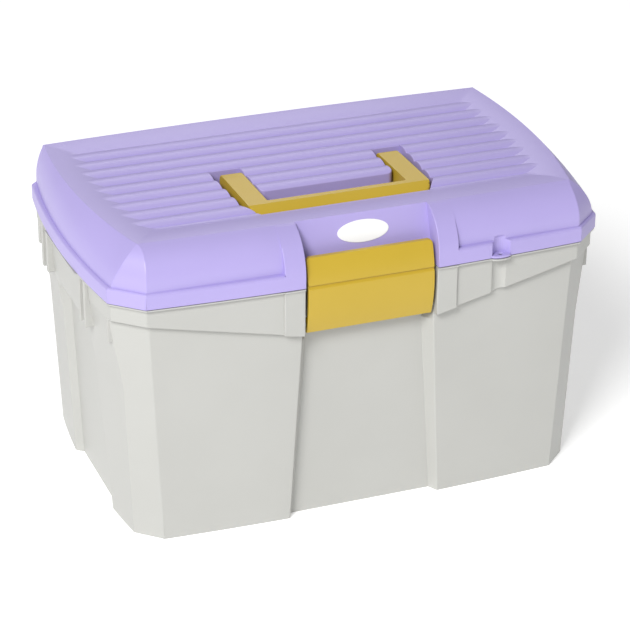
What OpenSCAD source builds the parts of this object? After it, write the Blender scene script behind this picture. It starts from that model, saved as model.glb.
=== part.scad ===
// Horse grooming box: moulded tub, domed lid on a rear hinge, bail handle, front latch and lift-out tray.
// Millimetres. Origin on the floor under the middle of the tub, +X right along the front, +Y to the rear, +Z up.

/* [Overall size] */
// length over the lid skirt
lid_l = 407; // [390:1:425]
// depth over the lid skirt
lid_w = 259; // [250:1:270]
// height of the tub up to its rim
tub_h = 197.3; // [188:0.1:207]
// height of the lid from its skirt edge up to the crease
lid_h = 42.5; // [40.5:0.5:45]

/* [Walls] */
// wall of the tub
wall = 3; // [2.6:0.1:3.4]
// wall of the lid
lid_wall = 2.6; // [2.2:0.1:3]

/* [Lid] */
// height of the upright skirt
skirt_h = 12.1; // [10.5:0.1:13.5]
// spacing of the lengthwise reeds
reed_pitch = 17.1; // [16:0.1:18]
// height of a reed above the valley beside it
reed_h = 2; // [1.6:0.1:2.4]

/* [Handle] */
// width over the two arms
handle_w = 146; // [142:1:150]
// width of one arm
arm_w = 17.4; // [15:0.2:18.4]
// thickness of the handle
handle_t = 12; // [10:0.5:13]
// reach from the pivot to the front of the bar
handle_reach = 71; // [68:0.5:72]

/* [Latch] */
// width of the latch
latch_w = 98.6; // [94:0.2:101]
// height of the latch
latch_h = 58.2; // [55:0.2:60]

/* [Pins] */
// distance of each lid hinge from the middle
hinge_x = 110; // [90:1:130]
// diameter of the lid hinge pins
hinge_pin_d = 5; // [4:0.5:6]
// diameter of the handle pins
handle_pin_d = 5; // [4:0.5:6]
// diameter of the latch pin
latch_pin_d = 4; // [3:0.5:4.5]
// running clearance around a pin
run = 0.05; // [0.02:0.01:0.08]

/* [Padlock eye] */
// distance of the eye from the middle
eye_x = 104.5; // [95:0.5:115]
// diameter of the eye hole
eye_d = 5; // [4:0.5:6]

/* [Tray] */
// depth of the tray below its flange
tray_depth = 52; // [40:1:70]
// wall of the tray
tray_wall = 2; // [1.6:0.1:2.6]

/* [Hidden] */
far = 900;
over = 1;
bow_fn = 1440;
ring_fn = 96;
pin_fn = 64;

// plan curves shared by tub and lid
hx = lid_l / 2;
hy = lid_w / 2;
bow_front = 2400;
bow_end = 690;
corner_deg = 47;
corner_cut = 25.1;
column_cut = 21.4;
function corner(x, y, cut) = x * cos(corner_deg) + y * sin(corner_deg) - cut;

// tub columns, which taper towards the floor and flare into the collar at the ends
floor_t = 3.5;
foot = 2.5;
column_in_x = 8.1;
column_in_y = 6.9;
taper_x = 8.8;
taper_y = 2.1;
function col_x(z) = hx - column_in_x - taper_x * (1 - z / tub_h);
function col_y(z) = hy - column_in_y - taper_y * (1 - z / tub_h);
function col_c(z) = corner(col_x(z), col_y(z), column_cut);
flare_drop = 55;
flare_land = 9.3;
flare_low = tub_h - flare_drop;
flare_high = tub_h - flare_land;
rim = tub_h + over;

// collar under the rim, with its pillars beside the latch
collar_in = 2.8;
collar_x = hx - collar_in;
collar_y = hy - collar_in;
collar_c = corner(collar_x, collar_y, corner_cut);
collar_drop = 14.8;
ridge_drop = 36;
pillar_drop = 39.3;
collar_low = tub_h - collar_drop;
ridge_low = tub_h - ridge_drop;
pillar_low = tub_h - pillar_drop;
pillar_in = 1.6;
pillar_deep = 12;
latch_side = 3.3;
bay_half = latch_w / 2 + latch_side;
pillar_w = 16.4;
ridge_x = bay_half + pillar_w;
slope_in = 32.5;

// recessed panels between the columns
panel_in_x = 15.6;
panel_in_y = 17.2;
panel_taper_x = 8.5;
panel_taper_y = 0.8;
function panel_x(z) = hx - panel_in_x - panel_taper_x * (1 - z / tub_h);
function panel_y(z) = hy - panel_in_y - panel_taper_y * (1 - z / tub_h);
recess_foot_half = 61.4;
end_recess_half = 42;

// hand grips at the ends
grip_half = 60;
grip_band_half = 44;
grip_in = 6.5;
grip_round = 30;
grip_drop = 30.3;
grip_x = hx - grip_in;
grip_z = tub_h - grip_drop;
rib_t = 4;
rib_len = 38;
rib_root = 8;
rib_places = [45, 57.5];
nib_in = 30;
nib_t = 4;
nib_len = 20;
nib_root = 20;

// rebate inside the rim, where the tray rests
rebate_drop = 10.8;
rebate_z = tub_h - rebate_drop;
rebate_x = hx - panel_in_x + wall + wall;
rebate_y = collar_y - wall;
rebate_c = collar_c - wall;

// lid skirt and dome
gap = 0.8;
z0 = tub_h + gap;
crease = z0 + lid_h;
skirt_c = corner(hx, hy, corner_cut);
ledge_end = 3;
ledge_front = 4.8;
ledge_corner = 2.4;
shoulder_up = 15.9;
shoulder = z0 + shoulder_up;
rise = crease - shoulder;
dome_bow = 4200;
dome_y = hy - ledge_front;
dome_c = skirt_c - ledge_corner;
lean_front = 20.7;
lean_rear = 17;
lean_corner = 15.4;
lean_rear_corner = 3.8;
function arc_r(lean, up) = (lean * lean + up * up) / (2 * lean);
end_bow = 670.7;
end_round_share = 1.042;
end_tilt = 4.05;
end_y = -5.2;
end_up = 11;
dome_foot = 40;

// lid pillars, latch bay and catch
lid_pillar_up = 8.9;
lid_pillar_lean = 25.5;
bay_lean = 15;
bay_top_in = 26.9;
bay_deg = atan2(bay_lean, lid_h);
function bay_y(z) = hy - bay_top_in + bay_lean * (crease - z) / lid_h;
catch_half = 40;
catch_up = 7.9;
catch_t = 3.6;
catch_in = 12.6;
catch_root = 8;

// dish inside the crease, with its reeds
dish_deep = 3.5;
valley = crease - dish_deep;
roll_r = 140;
roll_deg = 1.5;
crease_end_in = 15.1;
crease_end_bow = 626;
crease_end_y = 45;
reed_rows = 9;
reed_short = 31.5;
reed_r = (reed_pitch * reed_pitch / 4 + reed_h * reed_h) / (2 * reed_h);

// handle and the pocket it folds into
pivot_y = -4;
handle_sink = 1.1;
handle_top = crease - handle_sink;
pivot_up = 3.5;
pivot_z = handle_top - handle_t + pivot_up;
bar_w = 16;
bar_round = 5;
bar_corner = 9;
handle_half = handle_w / 2;
handle_front = pivot_y - handle_reach;
pocket_deep = 20;
pocket_floor = handle_top - pocket_deep;
pocket_rear = 9.5;
pocket_rear_gap = 8;
pocket_side_gap = 4.5;
pocket_front_in = 4;
pocket_front_gap = 2.5;
pocket_bend = 15;
arm_gap = 2.2;
block_half = handle_half - arm_w - arm_gap;
block_front = -39;
block_round = 9;
boss_r = 4.9;
boss_len = 8.5;
pin_in_arm = 11;

// latch
latch_r = 82;
latch_t = 3;
latch_in = 1.7;
latch_drop = 37;
latch_mid_drop = 11.3;
latch_y = latch_r + latch_in - hy;
latch_z = tub_h - latch_mid_drop;
latch_low = tub_h - latch_drop;
latch_round = 6;
latch_pivot_in = 9.7;
latch_pivot_drop = 32.3;
latch_pivot_y = latch_pivot_in - hy;
latch_pivot_z = tub_h - latch_pivot_drop;
barrel_r = 4.5;
latch_pin_bite = 10;
groove_h = 1.3;
groove_in = 3.3;
nose_gap = 0.4;
nose_h = 3;
nose_root = 5;

// lid hinge
hinge_out = 6;
hinge_up = 0.7;
hinge_y = hy + hinge_out;
hinge_z = tub_h + hinge_up;
knuckle_r = 6;
knuckle_w = 19.4;
side_w = 11.5;
side_gap = 0.6;
side_x = knuckle_w / 2 + side_gap;
lug_drop = 9;
lug_deep = 12.7;
lug_land = 0.4;
wing_deep = 10;
wing_low = 0.4;
wing_h = 5.4;

// padlock eye
tab_r = 8.5;
tab_t = 2.8;
notch_r = 8;
notch_up = 15;
eye_y = eye_x * eye_x / (2 * bow_front) - hy;

// tray
tray_gap = 0.9;
flange_t = 2.5;
tray_in_x = 29;
tray_in_y = 25.5;
tray_x = hx - tray_in_x;
tray_y = hy - tray_in_y;
tray_round = 18;
tray_z = rebate_z - tray_depth;
divider_x = 64;
divider_drop = 4;
tray_grip_half = 52;
tray_grip_t = 6;
tray_grip_up = 12;
tray_grip_round = 10;
slot_half = 38;
slot_r = 7;
slot_drop = 10;

// label
label_half_l = 20.4;
label_half_h = 8.4;
label_end_r = 6;
label_t = 0.6;
label_up = 30.6;
label_z = z0 + label_up;
label_c = label_half_l - label_end_r;
label_big_r = (label_c * label_c + label_half_h * label_half_h - label_end_r * label_end_r)
    / (2 * (label_half_h - label_end_r));
label_join = label_big_r * label_c / (label_big_r - label_end_r);

// slab square to a direction in plan, whose two faces follow an outline of [reach, height] points
module corner_slab(deg, outline) {
    down = [for (i = [1 : len(outline)]) outline[len(outline) - i]];
    rotate([0, 0, deg])
        rotate([90, 0, 0])
            linear_extrude(height = far, center = true)
                polygon(concat(outline, [for (p = down) [-p[0], p[1]]]));
}

// solid of revolution whose side follows an outline of [reach, height] points, counted from the middle of the box
module lathe(bow, half, outline) {
    axis = bow - half;
    low = outline[0][1];
    high = outline[len(outline) - 1][1];
    rotate_extrude($fn = bow_fn)
        polygon(concat([[0, low]], [for (p = outline) [axis + p[0], p[1]]], [[0, high]]));
}

// block with bowed sides and cut corners, with one outline for the ends, one for front and rear, one for corners
// all blocks turn about the same four axes, so that blocks of any size lie evenly inside each other
module bowed(ends, fronts, corners) {
    intersection() {
        bowed_front(fronts);
        mirror([0, 1, 0])
            bowed_front(fronts);
        bowed_end(ends);
        mirror([1, 0, 0])
            bowed_end(ends);
        corner_slab(corner_deg, corners);
        corner_slab(-corner_deg, corners);
    }
}

module bowed_front(outline) {
    translate([0, bow_front - hy, 0])
        lathe(bow_front, hy, outline);
}

module bowed_end(outline) {
    translate([hx - bow_end, 0, 0])
        lathe(bow_end, hx, outline);
}

// bowed block with upright sides
module upright(x, y, c, z_low, z_high) {
    bowed([[x, z_low], [x, z_high]], [[y, z_low], [y, z_high]], [[c, z_low], [c, z_high]]);
}

// outline drawn in x and z, pulled out towards the front
module front_prism(deep) {
    rotate([90, 0, 0])
        linear_extrude(height = deep)
            children();
}

// outline drawn in y and z, pulled out along x about the middle
module cross_prism(length) {
    rotate([90, 0, 90])
        linear_extrude(height = length, center = true)
            children();
}

// round bar along x, from x_low to x_high
module bar_x(x_low, x_high, y, z, r) {
    translate([x_low, y, z])
        rotate([0, 90, 0])
            cylinder(h = x_high - x_low, r = r, $fn = pin_fn);
}

// box between two corners
module box(low, high) {
    translate(low)
        cube(high - low);
}

// both ends of the box get the same feature
module both_ends() {
    children();
    mirror([1, 0, 0])
        children();
}

// tub with four proud corner columns, before its panels are sunk
module columns() {
    bowed([[col_x(0) - foot, 0], [col_x(foot), foot], [col_x(flare_low), flare_low],
            [collar_x, flare_high], [collar_x, rim]],
        [[col_y(0) - foot, 0], [col_y(foot), foot], [col_y(rim), rim]],
        [[col_c(0) - foot, 0], [col_c(foot), foot], [col_c(rim), rim]]);
}

// flat tapered block that the sunk panels lie on, drawn in by e
module core(e) {
    intersection() {
        translate([0, far / 2, 0])
            front_prism(far)
                polygon([[e - panel_x(0), -over], [panel_x(0) - e, -over],
                    [panel_x(tub_h) - e, rim + over], [e - panel_x(tub_h), rim + over]]);
        cross_prism(far)
            polygon([[e - panel_y(0), -over], [panel_y(0) - e, -over],
                [panel_y(tub_h) - e, rim + over], [e - panel_y(tub_h), rim + over]]);
    }
}

// space in front of the sunk panels, widened by e
module recesses(e) {
    difference() {
        union() {
            front_prism(far)
                polygon([[-recess_foot_half - e, -over], [recess_foot_half + e, -over],
                    [bay_half + e, pillar_low], [bay_half + e, rim + over],
                    [-bay_half - e, rim + over], [-bay_half - e, pillar_low]]);
            mirror([0, 1, 0])
                front_prism(far)
                    polygon([[-recess_foot_half - e, -over], [recess_foot_half + e, -over],
                        [bay_half + e, collar_low + e], [-bay_half - e, collar_low + e]]);
            both_ends()
                box([0, -end_recess_half - e, -over], [far, end_recess_half + e, rim + over]);
        }
        core(e);
    }
}

// collar under the rim; at the front its lower edge falls towards the latch
module collar() {
    intersection() {
        upright(collar_x, collar_y, collar_c, pillar_low, rim);
        union() {
            front_prism(far)
                polygon([[-hx, rim], [hx, rim], [hx, collar_low], [hx - slope_in, collar_low],
                    [ridge_x, ridge_low], [ridge_x, pillar_low], [-ridge_x, pillar_low],
                    [-ridge_x, ridge_low], [slope_in - hx, collar_low], [-hx, collar_low]]);
            box([-hx, 0, collar_low], [hx, hy, rim]);
        }
    }
    both_ends()
        box([bay_half, pillar_in - hy, pillar_low], [ridge_x, pillar_in + pillar_deep - hy, rim]);
}

// rounded band that closes the top of each end recess
module grip_band() {
    both_ends()
        intersection() {
            translate([0, grip_band_half, 0])
                front_prism(2 * grip_band_half) {
                    translate([grip_x - grip_round, grip_z])
                        square([grip_round, grip_drop + over]);
                    translate([grip_x - grip_round, grip_z])
                        circle(r = grip_round, $fn = ring_fn);
                }
            box([0, -hy, flare_low + over], [hx, hy, rim]);
        }
}

// upright ribs of the hand grips, and a nib under each corner of the collar
module end_ribs() {
    intersection() {
        upright(collar_x, collar_y, collar_c, pillar_low, rim);
        both_ends()
            for (side = [-1, 1]) {
                for (place = rib_places)
                    box([grip_x - rib_root, side * place - rib_t / 2, tub_h - rib_len],
                        [hx, side * place + rib_t / 2, rim]);
                box([hx - nib_root, side * (hy - nib_in) - nib_t / 2, collar_low - nib_len],
                    [hx, side * (hy - nib_in) + nib_t / 2, collar_low]);
            }
    }
}

// inside of the tub, with the rebate for the tray
module tub_hollow() {
    difference() {
        union() {
            bowed([[col_x(floor_t) - wall, floor_t], [col_x(rim) - wall, rim]],
                [[col_y(floor_t) - wall, floor_t], [col_y(rim) - wall, rim]],
                [[col_c(floor_t) - wall, floor_t], [col_c(rim) - wall, rim]]);
            upright(rebate_x, rebate_y, rebate_c, rebate_z, rim);
        }
        recesses(wall);
        translate([eye_x, eye_y, 0])
            cylinder(h = rim + over, r = notch_r + wall, $fn = pin_fn);
    }
}

// middle knuckle of one lid hinge on its lug
module tub_knuckle() {
    bar_x(hinge_x - knuckle_w / 2, hinge_x + knuckle_w / 2, hinge_y, hinge_z, knuckle_r);
    box([hinge_x - knuckle_w / 2, hinge_y - lug_deep, tub_h - lug_drop],
        [hinge_x + knuckle_w / 2, hinge_y, tub_h - lug_land]);
}

// whole tub without its hinge knuckles, cut level at the rim
module shell() {
    difference() {
        union() {
            difference() {
                union() {
                    columns();
                    collar();
                }
                recesses(0);
                both_ends()
                    box([grip_x, -grip_half, grip_z - grip_round / 2], [far, grip_half, far]);
                translate([eye_x, eye_y, ridge_low])
                    cylinder(h = ridge_drop - tab_t, r = notch_r, $fn = pin_fn);
            }
            grip_band();
            end_ribs();
            translate([eye_x, eye_y, tub_h - tab_t])
                cylinder(h = tab_t + over, r = tab_r, $fn = pin_fn);
        }
        tub_hollow();
        box([-far, -far, tub_h], [far, far, far]);
    }
}

module body() {
    color([0.9, 0.9, 0.88])
        difference() {
            union() {
                shell();
                both_ends()
                    tub_knuckle();
            }
            translate([eye_x, eye_y, tub_h - tab_t - over])
                cylinder(h = tab_t + 2 * over, r = eye_d / 2, $fn = pin_fn);
            both_ends() {
                bar_x(hinge_x - knuckle_w, hinge_x + knuckle_w, hinge_y, hinge_z, hinge_pin_d / 2);
                bar_x(0, bay_half + latch_pin_bite, latch_pivot_y, latch_pivot_z, latch_pin_d / 2);
            }
        }
}

// half outline of an upright wall that rounds over at the top, drawn in by e
module round_over(reach, r, z_foot, z_round, e) {
    translate([0, z_foot])
        square([reach - e, z_round - z_foot]);
    translate([0, z_foot])
        square([reach - r, z_round + r - e - z_foot]);
    translate([reach - r, z_round])
        circle(r = r - e, $fn = ring_fn);
}

// bowed front or rear side of the dome
module dome_front(lean, e) {
    translate([0, dome_bow - dome_y, 0])
        rotate_extrude($fn = bow_fn)
            round_over(dome_bow, arc_r(lean, rise), shoulder - dome_foot, shoulder, e);
}

// bowed end of the dome, leaning a little towards the rear
module dome_end(e) {
    translate([hx - ledge_end - end_bow, end_y, z0 + end_up])
        rotate([end_tilt, 0, 0])
            rotate_extrude($fn = bow_fn)
                round_over(end_bow, end_round_share * lid_h, -dome_foot, 0, e);
}

// cut corner of the dome, square to a direction in plan
module dome_corner(deg, lean, e) {
    rotate([0, 0, deg])
        rotate([90, 0, 0])
            linear_extrude(height = far, center = true)
                translate([-dome_bow, 0])
                    round_over(dome_bow + dome_c, arc_r(lean, rise), shoulder - dome_foot, shoulder, e);
}

// dome above the skirt, drawn in by e and cut off level at the top
module dome(e, top) {
    intersection() {
        dome_front(lean_front, e);
        mirror([0, 1, 0])
            dome_front(lean_rear, e);
        dome_end(e);
        mirror([1, 0, 0])
            dome_end(e);
        dome_corner(-corner_deg, lean_corner, e);
        dome_corner(corner_deg - 180, lean_corner, e);
        dome_corner(corner_deg, lean_rear_corner, e);
        dome_corner(180 - corner_deg, lean_rear_corner, e);
        box([-hx, -hy, z0 + lid_wall], [hx, hy, top]);
    }
}

// half outline of a dish whose rim rolls up to the crease at this reach
module dish_outline(reach) {
    difference() {
        translate([0, valley])
            square([reach, dish_deep + over]);
        translate([reach + roll_r * sin(roll_deg), crease - roll_r * cos(roll_deg)])
            circle(r = roll_r, $fn = 4 * ring_fn);
    }
}

// hollow top of the lid: what the dishes of the front, the rear and both ends have in common
module dish() {
    intersection() {
        translate([0, dome_bow - dome_y, 0])
            rotate_extrude($fn = bow_fn)
                dish_outline(dome_bow - lean_front);
        translate([0, dome_y - dome_bow, 0])
            rotate_extrude($fn = bow_fn)
                dish_outline(dome_bow - lean_rear);
        dish_end();
        mirror([1, 0, 0])
            dish_end();
    }
}

module dish_end() {
    translate([hx - crease_end_in - crease_end_bow, crease_end_y, 0])
        rotate_extrude($fn = bow_fn)
            dish_outline(crease_end_bow);
}

// lengthwise reeds in the dish
module reeds() {
    half = hx - reed_short;
    intersection() {
        for (row = [0 : reed_rows - 1])
            bar_x(-half, half, (row - (reed_rows - 1) / 2) * reed_pitch, valley + reed_h - reed_r, reed_r,
                $fn = ring_fn);
        box([-half, -hy, valley - lid_wall / 2], [half, hy, crease]);
    }
}

// pillar beside the latch bay, flush with the skirt at its foot
module lid_pillar() {
    intersection() {
        translate([0, bow_front - hy, 0])
            rotate_extrude($fn = bow_fn)
                round_over(bow_front, arc_r(lid_pillar_lean, lid_h - lid_pillar_up),
                    z0, z0 + lid_pillar_up, 0);
        box([bay_half, -hy, z0], [ridge_x, bay_top_in - hy - over, crease]);
    }
}

// latch bay, or the wall behind it when drawn back by e
module bay(e) {
    cross_prism(2 * (bay_half + e))
        polygon([[-hy - over, z0 - over], [e - bay_y(z0 - over), z0 - over],
            [e - bay_y(crease + over), crease + over], [-hy - over, crease + over]]);
}

// plan of the handle pocket, widened by e
module pocket_plan(e) {
    rear = handle_half + pocket_rear_gap + e;
    side = handle_half + pocket_side_gap + e;
    front = handle_half - pocket_front_in + e;
    y_front = handle_front - pocket_front_gap - e;
    difference() {
        polygon([[-rear, pocket_rear + e], [rear, pocket_rear + e], [side, y_front + pocket_bend],
            [front, y_front], [-front, y_front], [-side, y_front + pocket_bend]]);
        block_plan(block_half - e, block_front + e);
    }
}

// plan of the block that stands between the arms
module block_plan(half, y_front) {
    translate([-half, y_front + block_round])
        square([2 * half, hy]);
    translate([block_round - half, y_front])
        square([2 * (half - block_round), hy]);
    for (side = [-1, 1])
        translate([side * (half - block_round), y_front + block_round])
            circle(r = block_round, $fn = pin_fn);
}

// hollow under the lid, leaving walls round the bay, the pocket and the padlock notch
module lid_hollow() {
    difference() {
        union() {
            upright(hx - lid_wall, hy - lid_wall, skirt_c - lid_wall, z0 - over, z0 + skirt_h - lid_wall);
            dome(lid_wall, valley - lid_wall);
        }
        bay(lid_wall);
        translate([0, 0, pocket_floor - lid_wall])
            linear_extrude(height = pocket_deep + lid_wall)
                pocket_plan(lid_wall);
        both_ends()
            bar_x(block_half - boss_len, block_half, pivot_y, pivot_z, boss_r);
        translate([eye_x, eye_y, z0])
            cylinder(h = notch_up + lid_wall, r = notch_r + lid_wall, $fn = pin_fn);
    }
}

// outer knuckles of one lid hinge, with the wings that carry them
module lid_knuckles() {
    for (side = [-1, 1]) {
        low = hinge_x + side * (side_x + side_w / 2) - side_w / 2;
        bar_x(low, low + side_w, hinge_y, hinge_z, knuckle_r);
        box([low, hinge_y - wing_deep, z0 + wing_low], [low + side_w, hinge_y, z0 + wing_low + wing_h]);
    }
}

module lid() {
    color([0.74, 0.7, 0.91])
        difference() {
            union() {
                difference() {
                    union() {
                        upright(hx, hy, skirt_c, z0, z0 + skirt_h);
                        difference() {
                            dome(0, crease);
                            dish();
                        }
                        reeds();
                        both_ends()
                            lid_pillar();
                    }
                    lid_hollow();
                    bay(0);
                    translate([eye_x, eye_y, z0 + tab_t])
                        cylinder(h = notch_up - tab_t, r = notch_r, $fn = pin_fn);
                    translate([0, 0, pocket_floor])
                        linear_extrude(height = far)
                            pocket_plan(0);
                }
                both_ends()
                    lid_knuckles();
                translate([eye_x, eye_y, z0])
                    cylinder(h = tab_t, r = tab_r, $fn = pin_fn);
                box([-catch_half, catch_in - hy, z0 + catch_up],
                    [catch_half, catch_in + catch_root - hy, z0 + catch_up + catch_t]);
            }
            translate([eye_x, eye_y, z0 - over])
                cylinder(h = tab_t + 2 * over, r = eye_d / 2, $fn = pin_fn);
            both_ends() {
                bar_x(hinge_x - side_x - side_w - over, hinge_x + side_x + side_w + over,
                    hinge_y, hinge_z, hinge_pin_d / 2 + run);
                bar_x(block_half - boss_len, block_half + over, pivot_y, pivot_z, handle_pin_d / 2);
            }
        }
}

// cross-section of the grip bar, rounded along its upper front edge
module bar_section() {
    low = handle_top - handle_t;
    translate([handle_front + bar_round, low])
        square([bar_w - bar_round, handle_t]);
    translate([handle_front, low])
        square([bar_w, handle_t - bar_round]);
    translate([handle_front + bar_round, handle_top - bar_round])
        circle(r = bar_round, $fn = pin_fn);
}

module handle() {
    color([0.82, 0.69, 0.28])
        difference() {
            intersection() {
                union() {
                    cross_prism(handle_w)
                        bar_section();
                    both_ends() {
                        box([handle_half - arm_w, handle_front + bar_round, handle_top - handle_t],
                            [handle_half, pivot_y, handle_top]);
                        bar_x(handle_half - arm_w, handle_half, pivot_y, handle_top - handle_t / 2,
                            handle_t / 2);
                    }
                }
                linear_extrude(height = far) {
                    translate([-handle_half, handle_front + bar_corner])
                        square([handle_w, handle_reach + handle_t]);
                    translate([bar_corner - handle_half, handle_front])
                        square([handle_w - 2 * bar_corner, handle_reach]);
                    for (side = [-1, 1])
                        translate([side * (handle_half - bar_corner), handle_front + bar_corner])
                            circle(r = bar_corner, $fn = pin_fn);
                }
            }
            both_ends()
                bar_x(handle_half - arm_w - over, handle_half - arm_w + pin_in_arm + over, pivot_y, pivot_z,
                    handle_pin_d / 2 + run);
        }
}

// front view of the latch, with its upper corners rounded
module latch_front() {
    half = latch_w / 2;
    translate([-half, latch_low])
        square([latch_w, latch_h - latch_round]);
    translate([latch_round - half, latch_low])
        square([latch_w - 2 * latch_round, latch_h]);
    for (side = [-1, 1])
        translate([side * (half - latch_round), latch_low + latch_h - latch_round])
            circle(r = latch_round, $fn = pin_fn);
}

// bulged plate of the latch with the groove across it
module latch_plate() {
    intersection() {
        difference() {
            bar_x(-latch_w / 2, latch_w / 2, latch_y, latch_z, latch_r, $fn = 4 * ring_fn);
            bar_x(-latch_w / 2 - over, latch_w / 2 + over, latch_y, latch_z, latch_r - latch_t,
                $fn = 4 * ring_fn);
            box([-latch_w, -hy, tub_h - groove_h / 2], [latch_w, groove_in - hy, tub_h + groove_h / 2]);
        }
        front_prism(far)
            latch_front();
    }
}

module latch() {
    nose_low = z0 + catch_up + catch_t + nose_gap;
    nose_y = catch_in - nose_gap - hy;
    color([0.82, 0.69, 0.28])
        difference() {
            union() {
                latch_plate();
                bar_x(-latch_w / 2, latch_w / 2, latch_pivot_y, latch_pivot_z, barrel_r);
                box([-catch_half, nose_y - nose_root, nose_low], [catch_half, nose_y, nose_low + nose_h]);
            }
            bar_x(-latch_w, latch_w, latch_pivot_y, latch_pivot_z, latch_pin_d / 2 + run);
        }
}

// rounded oblong in plan
module oblong(x, y, r) {
    square([2 * x, 2 * (y - r)], center = true);
    square([2 * (x - r), 2 * y], center = true);
    for (sx = [-1, 1])
        for (sy = [-1, 1])
            translate([sx * (x - r), sy * (y - r)])
                circle(r = r, $fn = pin_fn);
}

// flange that rests in the rebate of the tub
module tray_flange() {
    e = tray_gap;
    difference() {
        upright(rebate_x - e, rebate_y - e, rebate_c - e, rebate_z, rebate_z + flange_t);
        recesses(wall + e);
        translate([eye_x, eye_y, 0])
            cylinder(h = tub_h, r = notch_r + wall + e, $fn = pin_fn);
    }
}

// upright grip in the middle of the tray, with a slot for the fingers
module tray_grip() {
    top = rebate_z + tray_grip_up;
    slot_z = rebate_z - slot_drop + slot_r;
    translate([0, tray_grip_t / 2, 0])
        front_prism(tray_grip_t)
            difference() {
                union() {
                    translate([-tray_grip_half, tray_z])
                        square([2 * tray_grip_half, top - tray_grip_round - tray_z]);
                    translate([tray_grip_round - tray_grip_half, tray_z])
                        square([2 * (tray_grip_half - tray_grip_round), top - tray_z]);
                    for (side = [-1, 1])
                        translate([side * (tray_grip_half - tray_grip_round), top - tray_grip_round])
                            circle(r = tray_grip_round, $fn = pin_fn);
                }
                translate([slot_r - slot_half, slot_z - slot_r])
                    square([2 * (slot_half - slot_r), 2 * slot_r]);
                for (side = [-1, 1])
                    translate([side * (slot_half - slot_r), slot_z])
                        circle(r = slot_r, $fn = pin_fn);
            }
}

module tray() {
    divider_top = rebate_z - divider_drop;
    color([0.74, 0.7, 0.91]) {
        difference() {
            union() {
                translate([0, 0, tray_z])
                    linear_extrude(height = tray_depth + flange_t)
                        oblong(tray_x, tray_y, tray_round);
                tray_flange();
            }
            translate([0, 0, tray_z + tray_wall])
                linear_extrude(height = tray_depth + flange_t)
                    oblong(tray_x - tray_wall, tray_y - tray_wall, tray_round - tray_wall);
        }
        for (side = [-1, 1])
            box([side * divider_x - tray_wall / 2, tray_wall / 2 - tray_y, tray_z],
                [side * divider_x + tray_wall / 2, tray_y - tray_wall / 2, divider_top]);
        box([tray_wall / 2 - tray_x, -tray_wall / 2, tray_z],
            [tray_x - tray_wall / 2, tray_wall / 2, divider_top]);
        tray_grip();
    }
}

module hinge_pins() {
    half = side_x + side_w;
    color([0.7, 0.71, 0.72])
        both_ends()
            bar_x(hinge_x - half, hinge_x + half, hinge_y, hinge_z, hinge_pin_d / 2);
}

module handle_pins() {
    color([0.7, 0.71, 0.72])
        both_ends()
            bar_x(block_half - boss_len, handle_half - arm_w + pin_in_arm, pivot_y, pivot_z, handle_pin_d / 2);
}

module latch_pin() {
    half = bay_half + latch_pin_bite;
    color([0.7, 0.71, 0.72])
        bar_x(-half, half, latch_pivot_y, latch_pivot_z, latch_pin_d / 2);
}

// blank oval plate that lies on the sloping face of the latch bay
module label() {
    color([0.96, 0.96, 0.96])
        translate([0, -bay_y(label_z), label_z])
            rotate([90 - bay_deg, 0, 0])
                linear_extrude(height = label_t) {
                    intersection() {
                        translate([0, label_half_h - label_big_r])
                            circle(r = label_big_r, $fn = 4 * ring_fn);
                        translate([0, label_big_r - label_half_h])
                            circle(r = label_big_r, $fn = 4 * ring_fn);
                        square([2 * label_join, 2 * label_half_h], center = true);
                    }
                    for (side = [-1, 1])
                        translate([side * label_c, 0])
                            circle(r = label_end_r, $fn = pin_fn);
                }
}

body();
lid();
handle();
latch();
tray();
hinge_pins();
handle_pins();
latch_pin();
label();
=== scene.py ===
# %% [markdown]
# # A moulded grooming box
# The box is a polypropylene tub with a domed lid, a folding handle, a front latch and a lift-out tray.
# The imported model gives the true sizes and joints, so everything made here sits in the same frame, in metres.
# Each piece is drawn from a few sizes and formulas, and then rides on the body that moves it.

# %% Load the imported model
import math

import bmesh
import bpy
import numpy as np
from mathutils import Matrix, Vector


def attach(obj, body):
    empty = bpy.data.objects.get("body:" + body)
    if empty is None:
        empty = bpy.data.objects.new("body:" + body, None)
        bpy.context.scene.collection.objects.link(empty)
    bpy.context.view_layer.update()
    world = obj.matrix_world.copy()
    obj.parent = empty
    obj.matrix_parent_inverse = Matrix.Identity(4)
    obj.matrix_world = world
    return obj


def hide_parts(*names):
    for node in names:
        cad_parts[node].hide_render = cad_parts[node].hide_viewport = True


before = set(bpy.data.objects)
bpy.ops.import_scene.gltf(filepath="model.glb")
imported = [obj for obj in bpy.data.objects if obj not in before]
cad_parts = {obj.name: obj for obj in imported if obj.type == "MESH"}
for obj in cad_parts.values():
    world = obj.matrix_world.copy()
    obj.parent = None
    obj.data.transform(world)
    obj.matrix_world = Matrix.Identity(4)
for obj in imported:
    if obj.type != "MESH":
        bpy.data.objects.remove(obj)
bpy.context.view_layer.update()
MM = 0.001

# %% [markdown]
# ## Camera
# A product picture is taken with a long lens, which keeps upright edges nearly parallel.
# The camera could be placed by eye, but then few edges would match.
# So it was fitted to the corners of the box: a place, three angles and a focal length in pixels.

# %% Set the camera
IMAGE_PIXELS = 630
FOCAL_PIXELS = 2429.7
SENSOR = 36.0
CAMERA_PLACE = (-0.62886, -1.61878, 0.96184)
CAMERA_YAW = 21.37
CAMERA_PITCH = 26.17
CAMERA_ROLL = 0.485
CAMERA_REACH = 50

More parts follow.
